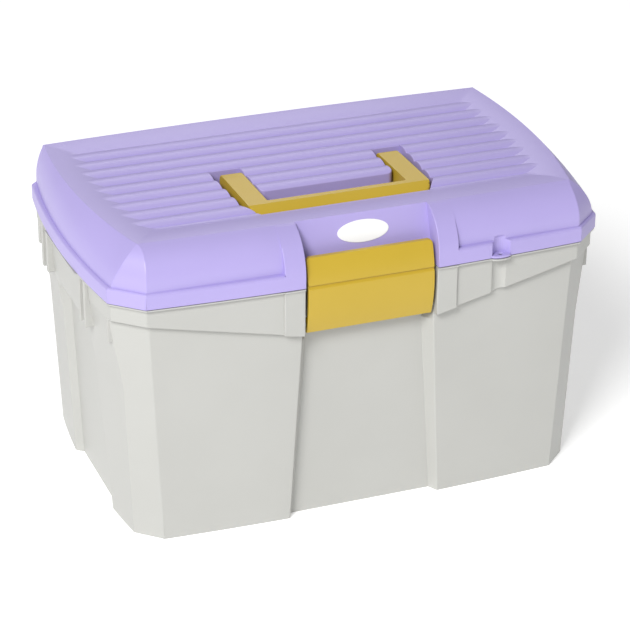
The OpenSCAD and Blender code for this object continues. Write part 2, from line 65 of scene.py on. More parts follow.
camera = bpy.data.cameras.new("camera")
camera.sensor_width = SENSOR
camera.lens = FOCAL_PIXELS * SENSOR / IMAGE_PIXELS
camera.clip_end = CAMERA_REACH
eye = bpy.data.objects.new("camera", camera)
bpy.context.scene.collection.objects.link(eye)
turn = (Matrix.Rotation(math.radians(-CAMERA_YAW), 4, "Z")
        @ Matrix.Rotation(math.radians(90 - CAMERA_PITCH), 4, "X")
        @ Matrix.Rotation(math.radians(CAMERA_ROLL), 4, "Z"))
eye.matrix_world = Matrix.Translation(CAMERA_PLACE) @ turn
bpy.context.scene.camera = eye
print("lens", round(camera.lens, 1), "mm")

# %% [markdown]
# ## Shades on a surface
# Paper and moulded plastic both drift between two close shades. One flat colour would look drawn, not made.
# A picture of the drift would need unwrapped faces. Noise on the object's own coordinates has no seams,
# and it moves with the piece.

# %% Noise and shades
def new_material(name):
    """New material with its node tree and its shader."""
    material = bpy.data.materials.new(name)
    material.use_nodes = True
    return material, material.node_tree, material.node_tree.nodes["Principled BSDF"]


def noise(tree, scale, detail):
    """Noise on the object's own coordinates."""
    place = tree.nodes.new("ShaderNodeTexCoord")
    texture = tree.nodes.new("ShaderNodeTexNoise")
    texture.inputs["Scale"].default_value = scale
    texture.inputs["Detail"].default_value = detail
    tree.links.new(place.outputs["Object"], texture.inputs["Vector"])
    return texture


def shade(tree, texture, stops, colours):
    """Base colour that drifts between two shades with the noise."""
    ramp = tree.nodes.new("ShaderNodeValToRGB")
    for stop, position, colour in zip(ramp.color_ramp.elements, stops, colours):
        stop.position = position
        stop.color = (*colour, 1)
    tree.links.new(texture.outputs["Fac"], ramp.inputs["Fac"])
    tree.links.new(ramp.outputs["Color"], tree.nodes["Principled BSDF"].inputs["Base Color"])


# %% [markdown]
# ## Studio
# A product photograph is taken on a lit white table. A plain white floor would turn grey in the shadows.
# So the paper glows a little, which keeps the shadows pale.

# %% Paper floor
FLOOR_HALF, FLOOR_GLOW = 6.0, 0.32
PAPER_GRAIN, PAPER_DETAIL, PAPER_ROUGHNESS = 40, 2, 0.9
PAPER_SHADES = [(0.93, 0.93, 0.93), (0.95, 0.95, 0.95)]


def paper_material():
    """White studio paper that glows a little."""
    material, tree, shader = new_material("studio_paper")
    shader.inputs["Roughness"].default_value = PAPER_ROUGHNESS
    shader.inputs["Emission Color"].default_value = (1, 1, 1, 1)
    shader.inputs["Emission Strength"].default_value = FLOOR_GLOW
    shade(tree, noise(tree, PAPER_GRAIN, PAPER_DETAIL), (0, 1), PAPER_SHADES)
    return material


floor_mesh = bpy.data.meshes.new("floor")
corners = [(x * FLOOR_HALF, y * FLOOR_HALF, 0) for x, y in ((-1, -1), (1, -1), (1, 1), (-1, 1))]
floor_mesh.from_pydata(corners, [], [(0, 1, 2, 3)])
floor_mesh.materials.append(paper_material())
floor = bpy.data.objects.new("floor", floor_mesh)
bpy.context.scene.collection.objects.link(floor)
print("floor", 2 * FLOOR_HALF, "m wide")

# %% [markdown]
# A picture of a studio could light the box too, but a few soft lights are easier to place and to change.
# The key light is at the front left, on the axis of the left corner facet, which becomes the brightest face.
# A wide light behind the box gives the level tops their sheen.

# %% World and lights
SKY_STRENGTH = 0.32
MIDDLE = Vector((0, 0, 0.12))
LIGHTS = {"key": ((-2.05, -2.12, 2.58), 1.3, 126), "back": ((0.58, 1.8, 1.6), 0.9, 7)}


def add_light(name, place, size, power):
    """Square soft light that looks at the middle of the box."""
    lamp = bpy.data.lights.new(name, "AREA")
    lamp.size = size
    lamp.energy = power
    spot = bpy.data.objects.new(name, lamp)
    spot.location = place
    aim = MIDDLE - Vector(place)
    spot.rotation_euler = aim.to_track_quat("-Z", "Y").to_euler()
    bpy.context.scene.collection.objects.link(spot)


world = bpy.data.worlds.new("tent")
world.use_nodes = True
world.node_tree.nodes["Background"].inputs["Color"].default_value = (1, 1, 1, 1)
world.node_tree.nodes["Background"].inputs["Strength"].default_value = SKY_STRENGTH
bpy.context.scene.world = world
bpy.context.scene.view_settings.view_transform = "Standard"
for name, (place, size, power) in LIGHTS.items():
    add_light(name, place, size, power)

# %% [markdown]
# ## Plastics
# Moulded polypropylene is satin: the tool is spark-eroded, and its fine grain breaks up the gloss.
# The grain could be modelled, but it is far finer than the mesh, so it is a bump.
# Faint cloudy shading and a slightly uneven gloss come from one slow noise, so they go together.

# %% Moulded plastic
CLOUD_SCALE, CLOUD_DETAIL, CLOUD_STOPS = 14, 3, (0.3, 0.7)
SPARK_SCALE, SPARK_DETAIL, SPARK_DEPTH = 1400, 2, 0.0003
GRAIN, FILM_GRAIN, GLOSS_SPREAD = 0.06, 0.01, 0.05


def moulded_plastic(name, light, dark, roughness, grain=GRAIN):
    """Satin moulded plastic with a fine grain and a faint cloudiness."""
    material, tree, shader = new_material(name)
    cloud = noise(tree, CLOUD_SCALE, CLOUD_DETAIL)
    shade(tree, cloud, CLOUD_STOPS, (dark, light))

    gloss = tree.nodes.new("ShaderNodeMapRange")
    gloss.inputs["To Min"].default_value = roughness - GLOSS_SPREAD
    gloss.inputs["To Max"].default_value = roughness + GLOSS_SPREAD
    tree.links.new(cloud.outputs["Fac"], gloss.inputs["Value"])
    tree.links.new(gloss.outputs["Result"], shader.inputs["Roughness"])

    spark = noise(tree, SPARK_SCALE, SPARK_DETAIL)
    bump = tree.nodes.new("ShaderNodeBump")
    bump.inputs["Strength"].default_value = grain
    bump.inputs["Distance"].default_value = SPARK_DEPTH
    tree.links.new(spark.outputs["Fac"], bump.inputs["Height"])
    tree.links.new(bump.outputs["Normal"], shader.inputs["Normal"])
    return material


# %% [markdown]
# The tub is off-white, the lid and the tray are lilac, and the handle and the latch are gold.
# The pins are bright steel, which is the same finish made metallic, and the label is a smooth white film.

# %% Finishes of the box
tub_plastic = moulded_plastic("tub_plastic", (0.50, 0.50, 0.475), (0.48, 0.48, 0.455), 0.42)
lid_plastic = moulded_plastic("lid_plastic", (0.44, 0.375, 0.72), (0.42, 0.36, 0.69), 0.40)
gold_plastic = moulded_plastic("gold_plastic", (0.56, 0.385, 0.035), (0.53, 0.365, 0.03), 0.34)
pin_steel = moulded_plastic("pin_steel", (0.56, 0.57, 0.58), (0.50, 0.51, 0.52), 0.35)
pin_steel.node_tree.nodes["Principled BSDF"].inputs["Metallic"].default_value = 1.0
label_film = moulded_plastic("label_film", (0.93, 0.93, 0.93), (0.91, 0.91, 0.91), 0.25, FILM_GRAIN)
print("materials:", [m.name for m in bpy.data.materials])

# %% [markdown]
# ## How the meshes are made
# A moulding could be cut from blocks, but cuts leave long thin faces that shade badly.
# Here it is drawn as closed outlines stacked on each other, all with the same number of points.
# A skin of quads between two outlines gives an even mesh, and points that fall together are welded.
# Sizes are in millimetres here and are turned into metres when the mesh is made.

# %% Outlines and skins
ROUND_STEPS = 48


def around(count=ROUND_STEPS):
    """Angles of a full turn."""
    return np.arange(count) * 2 * math.pi / count


def quarter(count):
    """Angles of a quarter turn, with both ends."""
    return np.linspace(0, math.pi / 2, count)


def ring(keys, steps, bows):
    """Closed outline through key points; an edge with a bow bulges outwards with that radius."""
    points = []
    for start, end, count, bow in zip(keys, keys[1:] + keys[:1], steps, bows):
        start, run = np.array(start, float), np.subtract(end, start)
        out = np.array([run[1], -run[0], 0.0])
        for t in np.arange(count) / count:
            sag = math.hypot(run[0], run[1]) / (2 * bow) * t * (1 - t) if bow else 0
            points.append(start + run * t + out * sag)
    return np.array(points)


def skin(rows, wrap=True):
    """Quads between outlines that follow each other."""
    polygons = []
    for low, high in zip(rows, rows[1:]):
        count = len(low)
        for j in range(count if wrap else count - 1):
            k = (j + 1) % count
            polygons.append([low[j], low[k], high[k], high[j]])
    return polygons


def solid(rows):
    """Closed body: a skin with a flat face on its first and last outline."""
    return [list(rows[0])[::-1]] + skin(rows) + [list(rows[-1])]


def block(low, high):
    """Closed box between two corners."""
    (x0, y0, z0), (x1, y1, z1) = low, high
    return solid([[(x0, y0, z), (x1, y0, z), (x1, y1, z), (x0, y1, z)] for z in (z0, z1)])


def tube(outer, hole, low, high, edge):
    """Closed tube about Z with softened outer edges."""
    profile = [(hole, low), (outer - edge, low), (outer, low + edge),
               (outer, high - edge), (outer - edge, high), (hole, high)]
    rows = [[(r * math.cos(a), r * math.sin(a), h) for a in around()] for r, h in profile]
    return skin(rows + rows[:1])


def moved(polygons, place):
    """Polygons shifted to a place."""
    return [[np.add(p, place) for p in polygon] for polygon in polygons]


def along_x(polygons):
    """Polygons drawn about Z, turned so that they lie about X."""
    return [[(p[2], p[0], p[1]) for p in polygon] for polygon in polygons]


print("faces of a block:", len(block((0, 0, 0), (1, 1, 1))))

# %% [markdown]
# A piece is welded from its polygons, rides on its body and takes the place of its solid.
# No moulding has razor edges. A bevel on every edge would fold over itself where rows are close together.
# So only convex edges with room beside them are rounded, and every other sharp edge just stays crisp.

# %% Pieces and their edges
CRISP, ROOM = 9, 1.3
SHARP, EDGE_STEPS = 30, 2


def make_piece(name, polygons, material, body, nodes=()):
    """Mesh object from polygons in millimetres, welded, riding on a body."""
    spots, faces = {}, []
    for polygon in polygons:
        ids = [spots.setdefault(tuple(round(float(c), 3) for c in p), len(spots)) for p in polygon]
        ids = [a for a, b in zip(ids, ids[1:] + ids[:1]) if a != b]
        if len(set(ids)) > 2:
            faces.append(ids)
    mesh = bpy.data.meshes.new(name)
    mesh.from_pydata([Vector(p) * MM for p in spots], [], faces)
    mesh.materials.append(material)
    mesh.shade_smooth()
    piece = bpy.data.objects.new(name, mesh)
    bpy.context.scene.collection.objects.link(piece)
    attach(piece, body)
    for node in nodes:
        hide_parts(node)
    print(name, len(mesh.vertices), "points", len(mesh.polygons), "faces")
    return piece


def round_edges(piece, width, angle=SHARP, segments=EDGE_STEPS):
    """Bevel on the convex edges that are sharp and have room for it."""
    form = bmesh.new()
    form.from_mesh(piece.data)
    weight = form.edges.layers.float.new("bevel_weight_edge")
    for edge in form.edges:
        if len(edge.link_faces) == 2 and edge.is_convex and edge.calc_face_angle() > math.radians(angle):
            room = min(face.calc_area() / edge.calc_length() for face in edge.link_faces)
            edge[weight] = float(room > ROOM * width * MM)
    rim = [edge.index for edge in form.edges if edge.is_boundary]
    form.to_mesh(piece.data)
    form.free()
    piece.data.set_sharp_from_angle(angle=math.radians(CRISP))
    for index in rim:
        piece.data.edges[index].use_edge_sharp = True
    bevel = piece.modifiers.new("edge", "BEVEL")
    bevel.width = width * MM
    bevel.segments = segments
    bevel.limit_method = "WEIGHT"
    bevel.use_clamp_overlap = False
    bevel.harden_normals = True


print("edges stay crisp above", CRISP, "degrees")

# %% [markdown]
# ## Plan shared by the tub and the lid
# Front and rear bow out a little, the ends bow out more, and a flat facet cuts each corner at 47 degrees.
# The corners could be read off a drawing, but then they would not follow a change of size.
# Two small formulas find where a facet meets the bowed front and the bowed end.

# %% Corners of a bowed plan
HALF_X, HALF_Y = 203.5, 129.5
FRONT_BOW, END_BOW = 2400.0, 690.0
FACET = math.radians(47)
COS, SIN = math.cos(FACET), math.sin(FACET)


def facet_reach(x, y, cut):
    """Distance of a facet from the middle, for a plan whose square corner is cut off by some depth."""
    return x * COS + y * SIN - cut


def plan_corners(x, y, reach):
    """Front and end corner of a facet on a plan that reaches x at the ends and y at the front."""
    s, k = SIN / (2 * FRONT_BOW), COS / (2 * END_BOW)
    front_x = (COS - math.sqrt(COS ** 2 + 4 * s * (y * SIN - reach))) / (2 * s)
    end_y = (SIN - math.sqrt(SIN ** 2 + 4 * k * (x * COS - reach))) / (2 * k)
    return (front_x, bowed_front(y, front_x)), (bowed_end(x, end_y), end_y)


def bowed_front(y, x):
    """Reach of a bowed front at a place along it."""
    return y - x * x / (2 * FRONT_BOW)


def bowed_end(x, y):
    """Reach of a bowed end at a place along it."""
    return x - y * y / (2 * END_BOW)


print("front bows by", round(HALF_Y - bowed_front(HALF_Y, HALF_X), 1), "mm")

# %% [markdown]
# ## Tub
# The tub is one moulding: four proud corner columns round sunk panels, with a collar under the rim.
# Columns and panels could be separate blocks, but their seams would show.
# So it is stacked from outlines: up the outside from the foot to the rim, then down the inside to the floor.

# %% Sizes of the tub
TUB_H = 197.3
FLOOR_T, WALL, FOOT = 3.5, 3.0, 0.8
# How far columns and panels lie inside the widest plan at the rim, and how much more at the foot.
# The first value is for the ends, the second for the front.
COLUMN_IN, COLUMN_TAPER = (8.1, 6.9), (8.8, 2.1)
PANEL_IN, PANEL_TAPER = (15.6, 17.2), (8.5, 0.8)
# How deep each corner facet cuts, and where the end columns flare out.
COLUMN_CUT, COLLAR_CUT, SKIRT_CUT = 21.4, 24.0, 25.1
FLARE_LOW, FLARE_HIGH = TUB_H - 70, TUB_H - 9.3
# The collar with its pillars beside the latch, and the bead on top of it.
COLLAR_IN = 2.8
COLLAR_X, COLLAR_Y = HALF_X - COLLAR_IN, HALF_Y - COLLAR_IN
COLLAR_C = facet_reach(COLLAR_X, COLLAR_Y, COLLAR_CUT)
COLLAR_LOW, PILLAR_LOW = TUB_H - 14.8, TUB_H - 39.3
PILLAR_Y, BEAD_OUT, BEAD_H = HALF_Y - 1.6, 2.4, 1.1
BAY_X, RIDGE_X, SLOPE_X = 52.6, 69.0, 171.0
# Half widths of the sunk panels at the foot and at the top, and the slant of their walls.
RECESS_FOOT, RECESS_SLANT = 61.4, (4.0, 6.5)
END_RECESS = {-1: (57.8, 43.6), 1: (40.0, 39.0)}
END_RECESS_TOP, END_SLANT = 150.0, 3.5
# The hand grip at each end, and the rebate inside the rim that carries the tray.
GRIP_Y, GRIP_X, GRIP_Z, GRIP_ROUND, GRIP_LAND = 60.0, HALF_X - 6.5, TUB_H - 30.3, 30.0, 1.0
REBATE_Z = TUB_H - 10.8
REBATE = (HALF_X - PANEL_IN[0] + 2 * WALL, COLLAR_Y - WALL, COLLAR_C - WALL)
# The padlock eye sits in a round groove, which has a share of its full depth.
EYE_X, EYE_R, EYE_SHARE = 104.5, 8.0, 0.66
EYE_Y = EYE_X ** 2 / (2 * FRONT_BOW) - HALF_Y
GROOVE_EDGE, GROOVE_COUNT = 70.9, 13
GROOVE_ANGLES = [-90] + list(np.linspace(-GROOVE_EDGE, GROOVE_EDGE, GROOVE_COUNT)) + [90]
GROOVE_PLACES = [EYE_X + EYE_R * math.sin(math.radians(a)) for a in GROOVE_ANGLES]
print("collar reach", round(COLLAR_C, 1), "groove at", round(EYE_Y, 1))

# %% [markdown]
# Every wall of the tub leans a little, so that the moulding leaves its tool.
# Each of these formulas gives the place of one wall or edge at a height, so a change of size moves them all.

# %% Walls of the tub
def column(axis, z):
    """Reach of the columns at the ends (0) or at the front (1)."""
    half = (HALF_X, HALF_Y)[axis]
    return half - COLUMN_IN[axis] - COLUMN_TAPER[axis] * (1 - z / TUB_H)


def panel(axis, z):
    """Reach of the sunk panels at the ends (0) or at the front (1)."""
    half = (HALF_X, HALF_Y)[axis]
    return half - PANEL_IN[axis] - PANEL_TAPER[axis] * (1 - z / TUB_H)


def column_end(z):
    """Reach of the end columns, which flare into the collar."""
    share = min(max((z - FLARE_LOW) / (FLARE_HIGH - FLARE_LOW), 0), 1)
    low = column(0, min(z, FLARE_LOW))
    return low + (COLLAR_X - low) * share


def grip_band(z):
    """Reach of the rounded band that closes the top of an end recess."""
    under = max(GRIP_Z - z, 0)
    return GRIP_X - GRIP_ROUND + math.sqrt(GRIP_ROUND ** 2 - under ** 2) if under < GRIP_ROUND else 0


def recess_half(z, top):
    """Half width of the front and rear recess, which narrows towards the latch."""
    return RECESS_FOOT + (BAY_X - RECESS_FOOT) * min(z / top, 1)


def end_recess(side, z):
    """Half width of an end recess towards the front (-1) or the rear (1)."""
    low, high = END_RECESS[side]
    return low + (high - low) * min(z / END_RECESS_TOP, 1)


def collar_bottom(x):
    """Lower edge of the collar and its pillars, which falls towards the latch."""
    share = min(max((x - BAY_X) / (SLOPE_X - BAY_X), 0), 1)
    return PILLAR_LOW + (COLLAR_LOW - PILLAR_LOW) * share


def dented(y, x, radius, dent):
    """Front face pushed in by the round groove of the padlock eye, by a share of its full depth."""
    inside = radius ** 2 - (x - EYE_X) ** 2
    return min(y, -EYE_Y - math.sqrt(inside) + radius * (1 - dent)) if dent and inside > 0 else y


print("columns lean by", round(column(0, TUB_H) - column(0, 0), 1), "mm at the ends")

# %% [markdown]
# Each outline runs through the same key points, from the middle of the front round to the middle of the rear.
# The left half is the mirror image of the right one, but has no eye groove.

# %% Key points of the tub's outlines
GROOVE_STEPS = [1] * (len(GROOVE_PLACES) - 1)
FRONT_STEPS = [3, 1, 2, 1, 3] + GROOVE_STEPS + [6]
END_STEPS = [3, 4, 1, 2, 1, 4]
REAR_STEPS = [10, 1, 3]
HALF_STEPS = FRONT_STEPS + END_STEPS + END_STEPS[::-1] + REAR_STEPS
HALF_BOWS = ([0, 0, FRONT_BOW, 0, FRONT_BOW] + [0] * len(GROOVE_STEPS) + [FRONT_BOW]
             + [0, END_BOW, 0, 0, 0, 0] + [0, 0, 0, 0, END_BOW, 0] + [FRONT_BOW, 0, 0])


def end_keys(x, y, reach, z, limit, edge, narrow, slant=0.0):
    """Facet, grip and recess points of one end, from the front to the rear."""
    front, end = plan_corners(x, y, reach)
    points = []
    for side in (-1, 1):
        inner = edge(side, z)
        at_grip = bowed_end(x, GRIP_Y)
        quarter_keys = [front, end, (at_grip, GRIP_Y), (min(at_grip, limit), GRIP_Y),
                        (min(bowed_end(x, inner), limit), inner), (narrow, inner - slant), (narrow, 0)]
        if side > 0:
            quarter_keys = quarter_keys[-2::-1]
        points += [(px, side * py, z) for px, py in quarter_keys]
    return points


def whole(front, end, rear, dent, rear_bow=0):
    """Closed outline from the points of one half; the left half has no eye groove."""
    right = front(dent) + end + rear
    left = front(0) + end + rear
    keys = right + [(-x, y, z) for x, y, z in left[-2:0:-1]]
    bows = HALF_BOWS[:-1] + [rear_bow]
    return ring(keys, HALF_STEPS + HALF_STEPS[::-1], bows + bows[::-1])


print("points in an outline:", 2 * sum(HALF_STEPS))

# %% [markdown]
# The lower edge of the collar falls towards the latch, and a level outline could not follow it.
# So each outline of the columns is set at a share of the way up to that edge.
# Those of the collar are set at a share of the way from that edge to the rim.

# %% Outlines of the columns and the collar
def column_outline(share, inset=0.0):
    """Outline of the columns at a share of the way from the foot to the collar."""
    def at(top):
        """Height at this share of the way up to an edge; an inset outline lies on the ground."""
        return 0.0 if inset else FOOT + share * (top - FOOT)

    def front(dent):
        """Front points; the columns have no eye groove."""
        z = at(PILLAR_LOW)
        half, y = recess_half(z, PILLAR_LOW), column(1, z) - inset
        slant = float(np.interp(share, (0, 1), RECESS_SLANT)) if share < 1 else 0
        keys = [(0, -panel(1, z), z), (half - slant, -panel(1, z), z), (half, -bowed_front(y, half), z)]
        for x in [RIDGE_X] * 2 + GROOVE_PLACES:
            z = at(collar_bottom(x))
            keys.append((x, -bowed_front(column(1, z) - inset, x), z))
        return keys

    z = at(COLLAR_LOW)
    x, y = column_end(z) - inset, column(1, z) - inset
    reach = facet_reach(column(0, z), column(1, z), COLUMN_CUT) - inset
    limit = GRIP_X if z > GRIP_Z - GRIP_ROUND / 2 else HALF_X
    end = end_keys(x, y, reach, z, limit, end_recess, max(panel(0, z), grip_band(z)), END_SLANT)
    half = recess_half(z, COLLAR_LOW)
    rear = [(half, bowed_front(y, half), z), (half, panel(1, z), z), (0, panel(1, z), z)]
    return whole(front, end, rear, 0)


def collar_outline(share, top=TUB_H - BEAD_H, grow=0.0):
    """Outline of the collar and its pillars at a share of its height, or of the bead if it grows."""
    x_out, y_out = COLLAR_X + grow, COLLAR_Y + grow

    def level(x):
        """Height at this share of the collar, above its falling lower edge."""
        return collar_bottom(x) + share * (top - collar_bottom(x))

    def front(dent):
        """Front points, with a pillar beside the latch and the eye groove."""
        pillar, z = PILLAR_Y + grow / 2, level(BAY_X)
        keys = [(0, -panel(1, z), z), (BAY_X, -panel(1, z), z), (BAY_X, -pillar, z),
                (RIDGE_X, -pillar, level(RIDGE_X))]
        for x in [RIDGE_X] + GROOVE_PLACES:
            keys.append((x, -dented(bowed_front(y_out, x), x, EYE_R, dent), level(x)))
        return keys

    z = level(SLOPE_X)
    limit, cut = (HALF_X, SKIRT_CUT) if grow else (GRIP_X, COLLAR_CUT)
    end = end_keys(x_out, y_out, facet_reach(x_out, y_out, cut), z, limit, end_recess, limit)
    rear = [(BAY_X, bowed_front(y_out, BAY_X), z)] * 2 + [(0, y_out, z)]
    return whole(front, end, rear, EYE_SHARE, FRONT_BOW)


print("points in the collar:", len(collar_outline(1)))

# %% [markdown]
# The hollow keeps one wall thickness behind the columns, the panels and the eye groove.
# A solidify step would be shorter, but it can't widen the hollow into the rebate under the rim.

# %% Outlines of the hollow
def inner_outline(z, x, y, reach, rear_open):
    """Outline of the hollow, with the walls behind the sunk panels and the eye groove."""
    def front(dent):
        """Front points, behind the recess and the eye groove."""
        half, back = recess_half(z, PILLAR_LOW) + WALL, -(panel(1, z) - WALL)
        keys = [(0, back, z), (half, back, z), (half, -bowed_front(y, half), z),
                (RIDGE_X, -bowed_front(y, RIDGE_X), z)]
        for place in [RIDGE_X] + GROOVE_PLACES:
            keys.append((place, -dented(bowed_front(y, place), place, EYE_R + WALL, dent), z))
        return keys

    def behind(side, z):
        """Edge of the wall behind an end recess, which stops short of the grip."""
        return min(end_recess(side, z) + WALL, GRIP_Y - GRIP_LAND)

    end = end_keys(x, y, reach, z, HALF_X, behind, panel(0, z) - WALL)
    half = recess_half(z, COLLAR_LOW) + WALL
    side_y = bowed_front(y, half)
    rear_y = y if rear_open else panel(1, z) - WALL
    rear = [(half, side_y, z), (half, side_y if rear_open else rear_y, z), (0, rear_y, z)]
    return whole(front, end, rear, 1, FRONT_BOW if rear_open else 0)


def hollow_outline(z):
    """Outline of the hollow below the rebate."""
    x, y = column(0, z) - WALL, column(1, z) - WALL
    return inner_outline(z, x, y, facet_reach(column(0, z), column(1, z), COLUMN_CUT) - WALL, False)


print("points in the hollow:", len(hollow_outline(FLOOR_T)))

# %% [markdown]
# The rows are close together where the end columns flare and the grip band curls in, and far apart elsewhere.

# %% Stack the tub
COLUMN_ROWS = (FOOT, 30, 60, 90, FLARE_LOW, 140, 146, 150, 154, 158, 162, 167, 175, 182.5)
COLLAR_SHARES = (0, 0.37, 0.7, 1)
HOLLOW_ROWS = (REBATE_Z, 140, 70, FLOOR_T)
TUB_EDGE = 0.9
column_rows = [column_outline((z - FOOT) / (COLLAR_LOW - FOOT)) for z in COLUMN_ROWS]
collar_rows = [collar_outline(share) for share in COLLAR_SHARES]
bead_rows = [collar_outline(1, z, BEAD_OUT) for z in (TUB_H - BEAD_H, TUB_H)]
rebate_rows = [inner_outline(z, *REBATE, True) for z in (TUB_H, REBATE_Z)]
hollow_rows = [hollow_outline(z) for z in HOLLOW_ROWS]
outside = [column_outline(0, FOOT)] + column_rows + collar_rows + bead_rows
tub = make_piece("tub", solid(outside + rebate_rows + hollow_rows), tub_plastic, "tub", ["body"])
round_edges(tub, TUB_EDGE)

# %% [markdown]
# The padlock eye is a round tab with a hole, and each hinge knuckle is a tube on a lug behind the rim.
# Both could be part of the tub's outlines, but small round forms are cleaner as bodies of their own.

# %% Eye tab and hinge knuckles of the tub
EYE_HOLE, TAB_R, TAB_IN, TAB_OUT, TAB_BACK = 2.2, 8.0, 6.5, 2.9, 1.9
TUB_TAB, LID_TAB = 1.4, 1.8
HINGE_X, HINGE_Y, HINGE_Z = 110.0, HALF_Y + 6, TUB_H + 0.7
KNUCKLE_R, PIN_R, KNUCKLE_W = 6.0, 2.5, 19.4
SOFT, FITTING_EDGE = 0.6, 0.4
# Corners of a lug in depth from the hinge's axis and in height from the rim.
TUB_LUG = ((-12.7, -9.0), (-3.5, -0.4))


def knuckle(x, width):
    """Tube of the hinge at a place along its axis."""
    return moved(along_x(tube(KNUCKLE_R, PIN_R, -width / 2, width / 2, SOFT)), (x, HINGE_Y, HINGE_Z))


def lug(x, width, rim, corners):
    """Block that carries a knuckle."""
    (y0, z0), (y1, z1) = corners
    return block((x - width / 2, HINGE_Y + y0, rim + z0), (x + width / 2, HINGE_Y + y1, rim + z1))


def eye_tab(low, high):
    """Tab of the padlock eye: round where it fills the groove, a shallow arc in front, with a hole."""
    turns = [(math.cos(a), math.sin(a)) for a in around()]
    hole = [(EYE_X + EYE_HOLE * c, EYE_Y + TAB_BACK + EYE_HOLE * s) for c, s in turns]
    edge = [(EYE_X + TAB_R * c, EYE_Y + (TAB_IN if s > 0 else TAB_OUT) * s) for c, s in turns]
    loops = ((hole, low), (edge, low), (edge, high), (hole, high))
    rows = [[(x, y, z) for x, y in points] for points, z in loops]
    return skin(rows + rows[:1])


def tub_fittings():
    """Lower half of the padlock eye and the middle knuckle of each hinge."""
    polygons = eye_tab(TUB_H - TUB_TAB, TUB_H)
    for x in (-HINGE_X, HINGE_X):
        polygons += knuckle(x, KNUCKLE_W) + lug(x, KNUCKLE_W, TUB_H, TUB_LUG)
    return polygons


fittings = make_piece("tub_fittings", tub_fittings(), tub_plastic, "tub")
round_edges(fittings, FITTING_EDGE)

# %% [markdown]
# The hand grips have upright ribs, and a nib hangs under each corner of the collar.
# Copies by hand would have to be changed one by one.
# So a node tree puts one block on every point of a small cloud, and the result becomes a plain mesh.

# %% Node tree for blocks
def scatter_tree():
    """Node tree that puts a block of a given size on each point."""
    tree = bpy.data.node_groups.new("blocks_on_points", "GeometryNodeTree")
    tree.interface.new_socket("Geometry", in_out="INPUT", socket_type="NodeSocketGeometry")
    tree.interface.new_socket("Size", in_out="INPUT", socket_type="NodeSocketVector")
    tree.interface.new_socket("Plastic", in_out="INPUT", socket_type="NodeSocketMaterial")
    tree.interface.new_socket("Geometry", in_out="OUTPUT", socket_type="NodeSocketGeometry")
    source, sink = tree.nodes.new("NodeGroupInput"), tree.nodes.new("NodeGroupOutput")
    cube = tree.nodes.new("GeometryNodeMeshCube")
    place = tree.nodes.new("GeometryNodeInstanceOnPoints")
    real = tree.nodes.new("GeometryNodeRealizeInstances")
    paint = tree.nodes.new("GeometryNodeSetMaterial")
    for start, end in ((source.outputs["Size"], cube.inputs["Size"]),
                       (source.outputs["Geometry"], place.inputs["Points"]),
                       (cube.outputs["Mesh"], place.inputs["Instance"]),
                       (place.outputs["Instances"], real.inputs["Geometry"]),
                       (real.outputs["Geometry"], paint.inputs["Geometry"]),
                       (source.outputs["Plastic"], paint.inputs["Material"]),
                       (paint.outputs["Geometry"], sink.inputs["Geometry"])):
        tree.links.new(start, end)
    return tree


def scattered(name, tree, points, size, material, body):
    """Plain mesh of one block on every point."""
    cloud = bpy.data.meshes.new(name)
    cloud.from_pydata([Vector(p) * MM for p in points], [], [])
    piece = bpy.data.objects.new(name, cloud)
    bpy.context.scene.collection.objects.link(piece)
    step = piece.modifiers.new("blocks", "NODES")
    step.node_group = tree
    sockets = {item.name: item.identifier for item in tree.interface.items_tree if item.in_out == "INPUT"}
    step[sockets["Size"]] = tuple(c * MM for c in size)
    step[sockets["Plastic"]] = material
    shape = bpy.data.meshes.new_from_object(piece.evaluated_get(bpy.context.evaluated_depsgraph_get()))
    piece.modifiers.clear()
    piece.data = shape
    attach(piece, body)
    print(name, len(points), "blocks", len(shape.polygons), "faces")
    return piece


# %% [markdown]
# Ribs and nibs are the same at both ends and towards the front and the rear, so one list gives all places.

# %% Ribs and nibs
RIB_T, RIB_LOW, RIB_PLACES = 4.0, TUB_H - 38, (45.0, 57.5)
RIB_BACK, RIB_OUT, RIB_EDGE = GRIP_X - 8, GRIP_X + 4, 0.7
NIB_PLACE, NIB_LOW, NIB_OUT, NIB_DEEP = HALF_Y - 36.5, COLLAR_LOW - 20, GRIP_X - 2.7, 12.0
QUARTERS = [(end, side) for end in (-1, 1) for side in (-1, 1)]

tree = scatter_tree()
rib_size = (RIB_OUT - RIB_BACK, RIB_T, TUB_H - RIB_LOW)
rib_points = [(end * (RIB_BACK + RIB_OUT) / 2, side * place, (RIB_LOW + TUB_H) / 2)
              for end, side in QUARTERS for place in RIB_PLACES]
nib_size = (NIB_DEEP, RIB_T, COLLAR_LOW - NIB_LOW)
nib_points = [(end * (NIB_OUT - NIB_DEEP / 2), side * NIB_PLACE, (NIB_LOW + COLLAR_LOW) / 2)
              for end, side in QUARTERS]
ribs = scattered("grip_ribs", tree, rib_points, rib_size, tub_plastic, "tub")
nibs = scattered("collar_nibs", tree, nib_points, nib_size, tub_plastic, "tub")
for piece in (ribs, nibs):
    round_edges(piece, RIB_EDGE)

# %% [markdown]
# ## Lid
# The lid is a dome on an upright skirt.
# Its top is a shallow dish with nine reeds, and its rim rolls up to a crease.
# It could be cut out of a block, but the reeds, the pocket and the bay would then leave ragged faces.
# So the top is a grid whose columns follow the handle pocket and run on into the latch bay and its pillars.
# Below the crease the edge of that grid is carried down the dome, over a ledge and down the skirt.

# %% Sizes of the lid
LID_LOW, CREASE = TUB_H + 0.8, TUB_H + 43.3
LID_WALL = 2.6
